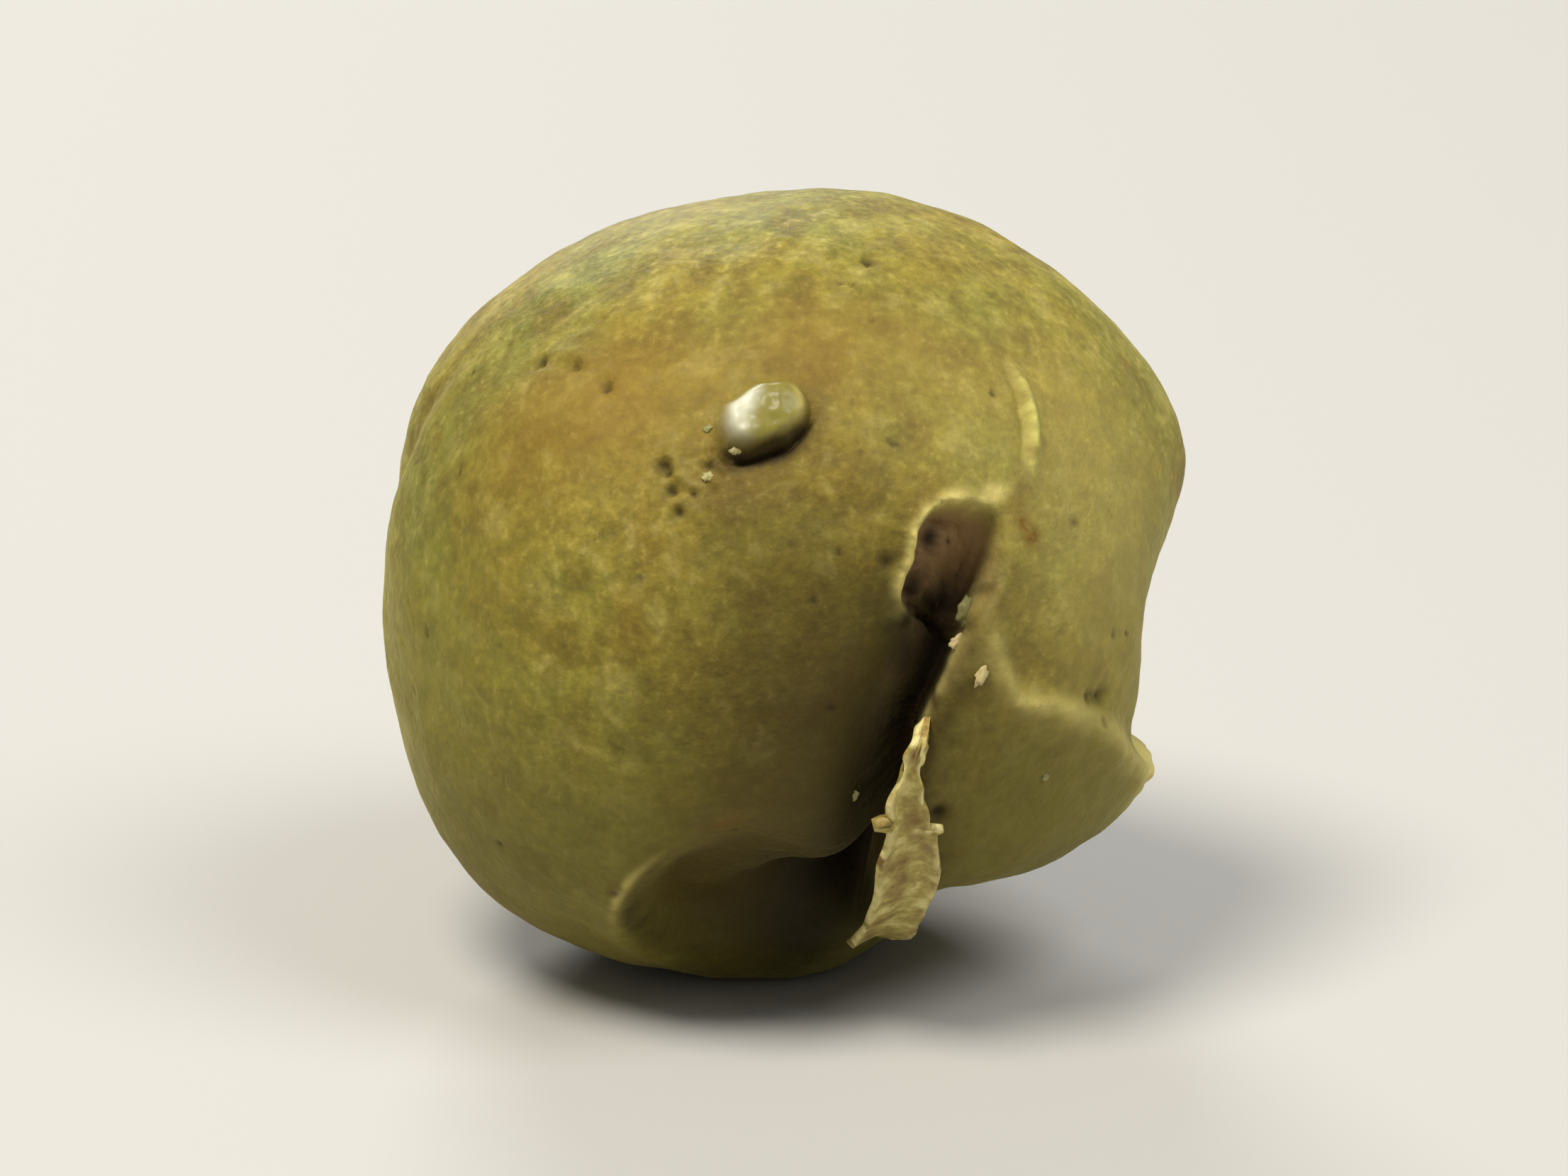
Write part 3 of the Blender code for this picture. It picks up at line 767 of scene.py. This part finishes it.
skin, tree, where = begin_material("dried_pericarp")
zones = add(tree, "ShaderNodeTexNoise", {"Vector": where, "Scale": per(1.6), "Detail": 2.0})
colour = add(tree, "ShaderNodeValToRGB", {"Fac": zones},
             stops=((0.36, SKIN_OCHRE), (0.5, SKIN_OLIVE), (0.66, SKIN_GREEN)))
blotches = add(tree, "ShaderNodeTexNoise", {"Vector": where, "Scale": per(0.42), "Detail": 3.0})
mottle = add(tree, "ShaderNodeTexNoise",
             {"Vector": where, "Scale": per(0.2), "Detail": 4.0, "Roughness": 0.55})
patches = add(tree, "ShaderNodeTexNoise",
              {"Vector": where, "Scale": per(0.24), "Detail": 2.0, "Distortion": 0.6})
fleck = add(tree, "ShaderNodeTexNoise",
            {"Vector": where, "Scale": per(0.07), "Detail": 3.0, "Roughness": 0.6})
for pattern, start, full, amount, tint in (
    (blotches, 0.5, 0.72, 0.6, SKIN_BROWN),
    (blotches, 0.5, 0.3, 0.35, SKIN_GREEN),
    (patches, 0.52, 0.66, 0.45, SKIN_PATCH),
    (patches, 0.46, 0.34, 0.4, LOBE_PALE),
    (fleck, 0.58, 0.75, 0.25, SKIN_PALE),
):
    share = add(tree, "ShaderNodeMapRange",
                {"Value": pattern, "From Min": start, "From Max": full, "To Max": amount})
    colour = add(tree, "ShaderNodeMix", {0: share, 6: colour, 7: tone(tint)}, out=2, data_type="RGBA")
mottle = add(tree, "ShaderNodeMath", {0: mottle, 1: fleck}, operation="ADD")
share = add(tree, "ShaderNodeMapRange",
            {"Value": mottle, "From Min": 0.75, "From Max": 1.25, "To Min": 0.68, "To Max": 1.27})
shade = add(tree, "ShaderNodeCombineColor", {"Red": share, "Green": share, "Blue": share})
colour = add(tree, "ShaderNodeMix", {0: 1.0, 6: colour, 7: shade},
             out=2, data_type="RGBA", blend_type="MULTIPLY")
for name, amount, tint in SKIN_LAYERS:
    mask = add(tree, "ShaderNodeAttribute", attribute_name=name, out="Fac")
    share = add(tree, "ShaderNodeMath", {0: mask, 1: amount}, operation="MULTIPLY")
    colour = add(tree, "ShaderNodeMix", {0: share, 6: colour, 7: tone(tint)}, out=2, data_type="RGBA")
grain = add(tree, "ShaderNodeTexNoise", {"Vector": where, "Scale": per(0.05), "Detail": 3.0})
smooth = add(tree, "ShaderNodeAttribute", attribute_name="nub", out="Fac")
rough = add(tree, "ShaderNodeMapRange", {"Value": smooth, "To Min": 0.45, "To Max": 0.1})
bump = add(tree, "ShaderNodeBump", {"Height": grain, "Strength": rough, "Distance": 0.02 * MM})
gloss = add(tree, "ShaderNodeMapRange", {"Value": smooth, "To Min": 0.66, "To Max": 0.3})
shader = add(tree, "ShaderNodeBsdfPrincipled", {
    "Base Color": colour, "Roughness": gloss, "IOR": 1.45, "Specular IOR Level": 0.26, "Normal": bump,
    "Sheen Weight": 0.22, "Sheen Roughness": 0.35, "Sheen Tint": tone(SKIN_BLOOM)})
add(tree, "ShaderNodeOutputMaterial", {"Surface": shader})
berry.data.materials.append(skin)
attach(berry, "root")
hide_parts("peppercorn")

# The strip of skin peeled from the lobe's lip: a thin dry band, tan and mottled, that narrows to a thread at
# its top, hangs down along the split, and is ragged and pale at its edges. It is a grid bent along its route
# and thickened.
# Each point of its middle: bearing, rise, height of its outer side over the mean radius, width.
STRIP_ROUTE = (
    (21.6, -3.8, -0.20, 0.04),
    (19.4, -5.4, -0.02, 0.05),
    (18.2, -7.4, 0.02, 0.07),
    (17.7, -10.0, 0.01, 0.13),
    (17.5, -14.1, 0.0, 0.19),
    (18.2, -18.2, 0.0, 0.25),
    (19.2, -21.8, -0.03, 0.32),
    (20.1, -27.5, -0.05, 0.40),
    (21.0, -33.8, -0.08, 0.40),
    (22.3, -44.3, -0.13, 0.42),
    (23.6, -51.0, -0.17, 0.42),
    (24.8, -56.6, -0.23, 0.30),
)
STRIP_THICKNESS = 0.05
STRIP_RAGGED = 0.03
STRIP_RIPPLE = 0.03
STRIP_ROLL = 0.05
STRIP_ROLL_WIDTH = 0.25

# The barb on the strip's left edge and the knot on its right one: share of the way down, width as a share,
# reach in millimetres.
STRIP_BARB = (0.452, 0.0055, 0.125)
STRIP_KNOT = (0.508, 0.014, 0.09)
KNOT_PALE_WIDTH = 0.016

bm = bmesh.new()
bmesh.ops.create_grid(bm, x_segments=12, y_segments=220, size=1)
edge = bm.verts.layers.float.new("edge")
line = smooth_route([np.array(point) for point in STRIP_ROUTE], steps=12)
stops = np.linspace(0, 1, len(line))
for vert in bm.verts:
    across, along = vert.co.x, (vert.co.y + 1) / 2
    knot_pale = 2 * bell((along - STRIP_KNOT[0]) / KNOT_PALE_WIDTH) * np.clip(across * 3, 0, 1)
    vert[edge] = max(across ** 6, knot_pale)
    bearing, rise, height, width = [np.interp(along, stops, line[:, k]) for k in range(4)]
    out, east = toward(bearing, rise), toward(bearing + 90, 0)
    ragged = noise.noise(Vector((along * 17, 3.0 * np.sign(across), 1.7)))
    place, spike_width, reach = STRIP_BARB if across < 0 else STRIP_KNOT
    half = width / 2 + STRIP_RAGGED * ragged * min(1, 4 * along)
    half += reach * bell((along - place) / spike_width)
    lift = STRIP_ROLL * (across * across - 0.4) * min(1, width / STRIP_ROLL_WIDTH)
    lift += STRIP_RIPPLE * noise.noise(Vector((along * 9, across * 1.5, 4.2)))
    vert.co = Vector(out * (MEAN_RADIUS + (height + lift) * MM) + east * across * half * MM + SET_DOWN)
bmesh.ops.recalc_face_normals(bm, faces=bm.faces[:])
if sum(face.normal.dot(Vector(toward(19, -20))) for face in bm.faces) < 0:
    bmesh.ops.reverse_faces(bm, faces=bm.faces[:])
bmesh.ops.solidify(bm, geom=bm.faces[:], thickness=STRIP_THICKNESS * MM)
bmesh.ops.recalc_face_normals(bm, faces=bm.faces[:])
strip = as_object("peeled_strip", bm)

# Dry peel: thin torn pericarp, tan with brown mottling, paler where its ragged edge has worn.
PEEL_TAN = "#af9f52"
PEEL_BROWN = "#82632f"
PEEL_PALE = "#ddd08a"
peel, tree, where = begin_material("dry_peel")
patches = add(tree, "ShaderNodeTexNoise",
              {"Vector": where, "Scale": per(0.22), "Detail": 4.0, "Roughness": 0.65})
colour = add(tree, "ShaderNodeValToRGB", {"Fac": patches},
             stops=((0.36, PEEL_BROWN), (0.54, PEEL_TAN), (0.68, PEEL_PALE)))
worn = add(tree, "ShaderNodeAttribute", attribute_name="edge", out="Fac")
rubbed = add(tree, "ShaderNodeTexNoise", {"Vector": where, "Scale": per(0.14), "Detail": 2.0})
rubbed = add(tree, "ShaderNodeMapRange",
             {"Value": rubbed, "From Min": 0.42, "From Max": 0.58, "To Max": 0.95})
share = add(tree, "ShaderNodeMath", {0: worn, 1: rubbed}, operation="MULTIPLY")
colour = add(tree, "ShaderNodeMix", {0: share, 6: colour, 7: tone(PEEL_PALE)}, out=2, data_type="RGBA")
grain = add(tree, "ShaderNodeTexNoise", {"Vector": where, "Scale": per(0.05), "Detail": 3.0})
bump = add(tree, "ShaderNodeBump", {"Height": grain, "Strength": 0.5, "Distance": 0.02 * MM})
shader = add(tree, "ShaderNodeBsdfPrincipled", {
    "Base Color": colour, "Roughness": 0.5, "IOR": 1.45, "Specular IOR Level": 0.45, "Normal": bump})
add(tree, "ShaderNodeOutputMaterial", {"Surface": shader})
strip.data.materials.append(peel)
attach(strip, "root")
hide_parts("peppercorn")

# Small flakes of dried skin that cling to the lobe's lip, the foot of the nub, the lobe and the scar: thin
# crumbs, grey-green to nearly white, sunk a little into what they cling to.
# Each one: bearing, rise, length, width, thickness, turn, how far it stands out, tint from olive to white.
FLAKES = (
    (28.4, 12.0, 0.20, 0.13, 0.05, 60, 0.0, 0.18),
    (25.7, 7.6, 0.12, 0.09, 0.05, 30, 0.005, 0.66),
    (28.1, 3.0, 0.18, 0.08, 0.05, 58, 0.0, 0.58),
    (9.6, -20.6, 0.08, 0.05, 0.04, 80, 0.0, 0.42),
    (42.6, -16.2, 0.07, 0.05, 0.03, 0, 0.0, 0.36),
    (-8.2, 35.8, 0.09, 0.06, 0.04, 20, 0.0, 0.50),
    (-12.4, 31.8, 0.08, 0.06, 0.04, 10, 0.0, 0.48),
    (-13.4, 38.8, 0.07, 0.05, 0.03, 40, 0.0, 0.30),
    (175, -33, 0.16, 0.12, 0.06, 30, 0.010, 0.35),
    (181, -42, 0.14, 0.10, 0.05, 80, 0.010, 0.25),
)
FLAKE_RAGGED = 0.6
FLAKE_RAGGED_WAVES = 2.2

bm = bmesh.new()
tint = bm.verts.layers.float.new("tint")
feet, _ = berry_form(np.array([toward(bearing, rise) for bearing, rise, *_ in FLAKES]))
for foot, (bearing, rise, length, width, thickness, turn, lift, shade) in zip(feet + SET_DOWN, FLAKES):
    out, east = toward(bearing, rise), toward(bearing + 90, 0)
    north = np.cross(out, east)
    t = math.radians(turn)
    along, across = east * math.cos(t) + north * math.sin(t), north * math.cos(t) - east * math.sin(t)
    for vert in bmesh.ops.create_icosphere(bm, subdivisions=3, radius=1)["verts"]:
        ragged = noise.noise(vert.co * FLAKE_RAGGED_WAVES + Vector((bearing, rise, 0.5)))
        x, y, z = vert.co * (1 + FLAKE_RAGGED * ragged)
        shift = along * x * length / 2 + across * y * width / 2 + out * (z * thickness / 2 + lift)
        vert.co = Vector(foot + shift * MM)
        vert[tint] = shade
flakes = as_object("loose_flakes", bm)

# Dried flakes: chips of the same skin, bleached where they stood proud.
FLAKE_OLIVE = "#6f6a3a"
FLAKE_GREY = "#a19b62"
FLAKE_CREAM = "#d3bd88"
FLAKE_WHITE = "#e6dcc4"
flake, tree, where = begin_material("dried_flakes")
own = add(tree, "ShaderNodeAttribute", attribute_name="tint", out="Fac")
patches = add(tree, "ShaderNodeTexNoise", {"Vector": where, "Scale": per(0.06), "Detail": 3.0})
patches = add(tree, "ShaderNodeMapRange", {"Value": patches, "To Min": -0.25, "To Max": 0.25})
own = add(tree, "ShaderNodeMath", {0: own, 1: patches}, operation="ADD")
colour = add(tree, "ShaderNodeValToRGB", {"Fac": own},
             stops=((0.15, FLAKE_OLIVE), (0.42, FLAKE_GREY), (0.68, FLAKE_CREAM), (0.92, FLAKE_WHITE)))
shader = add(tree, "ShaderNodeBsdfPrincipled",
             {"Base Color": colour, "Roughness": 0.55, "Specular IOR Level": 0.3})
add(tree, "ShaderNodeOutputMaterial", {"Surface": shader})
flakes.data.materials.append(flake)
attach(flakes, "root")
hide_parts("peppercorn")

# The stage: a plain pale floor, a soft key lamp from the upper left, weaker ones from the right and the back,
# and the camera at the photograph's height over level, so near that the berry fills most of the picture.
FLOOR_SIZE = 0.4
FLOOR_GREY = "#b8b6af"
CAMERA_RISE = 17
CAMERA_LENS = 180
CAMERA_SENSOR = 36
FRAME_WIDTH, FRAME_HEIGHT = 2212, 1659
BERRY_SHARE = 0.66
AIM_DROP = 0.1 * MM
LAMP_DISTANCE = 0.16
WORLD_STRENGTH = 0.18

ground = bmesh.new()
bmesh.ops.create_grid(ground, x_segments=1, y_segments=1, size=FLOOR_SIZE)
floor = as_object("floor", ground, smooth=False)
paper = bpy.data.materials.new("pale_paper")
paper.use_nodes = True
paper.node_tree.nodes["Principled BSDF"].inputs["Base Color"].default_value = tone(FLOOR_GREY)
paper.node_tree.nodes["Principled BSDF"].inputs["Roughness"].default_value = 0.8
floor.data.materials.append(paper)

low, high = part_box("peppercorn")
aim = (low + high) / 2
aim.z -= AIM_DROP
camera = bpy.data.cameras.new("camera")
camera.lens = CAMERA_LENS
camera.sensor_width = CAMERA_SENSOR
camera.clip_start = 0.001
shown = (high.z - low.z) / BERRY_SHARE * FRAME_WIDTH / FRAME_HEIGHT
away = shown * CAMERA_LENS / CAMERA_SENSOR
looking = Vector(toward(0, CAMERA_RISE))
eye = bpy.data.objects.new("camera", camera)
eye.location = aim + looking * away
eye.rotation_euler = looking.to_track_quat("Z", "Y").to_euler()
bpy.context.scene.collection.objects.link(eye)
bpy.context.scene.camera = eye

# Each lamp: name, where it stands as seen from the berry, size, light it gives at the berry, and hue.
LAMPS = (
    ("key", toward(-46, 64), 0.07, 1.02, "#fffaf0"),
    ("right", toward(62, 54), 0.09, 0.55, "#fbfbff"),
    ("back", toward(-168, 26), 0.06, 0.55, "#ffffff"),
)
for name, way, size, light, hue in LAMPS:
    lamp = bpy.data.lights.new(name, "AREA")
    lamp.shape = "DISK"
    lamp.size = size
    # A lamp's power for the light that it should give at its distance.
    lamp.energy = light * (math.pi * LAMP_DISTANCE) ** 2
    lamp.color = tone(hue)[:3]
    stand = bpy.data.objects.new(name, lamp)
    stand.location = aim + Vector(way) * LAMP_DISTANCE
    stand.rotation_euler = Vector(way).to_track_quat("Z", "Y").to_euler()
    bpy.context.scene.collection.objects.link(stand)

world = bpy.data.worlds.new("soft_white")
world.use_nodes = True
world.node_tree.nodes["Background"].inputs["Color"].default_value = tone("#ffffff")
world.node_tree.nodes["Background"].inputs["Strength"].default_value = WORLD_STRENGTH
bpy.context.scene.world = world
bpy.context.scene.view_settings.view_transform = "Standard"
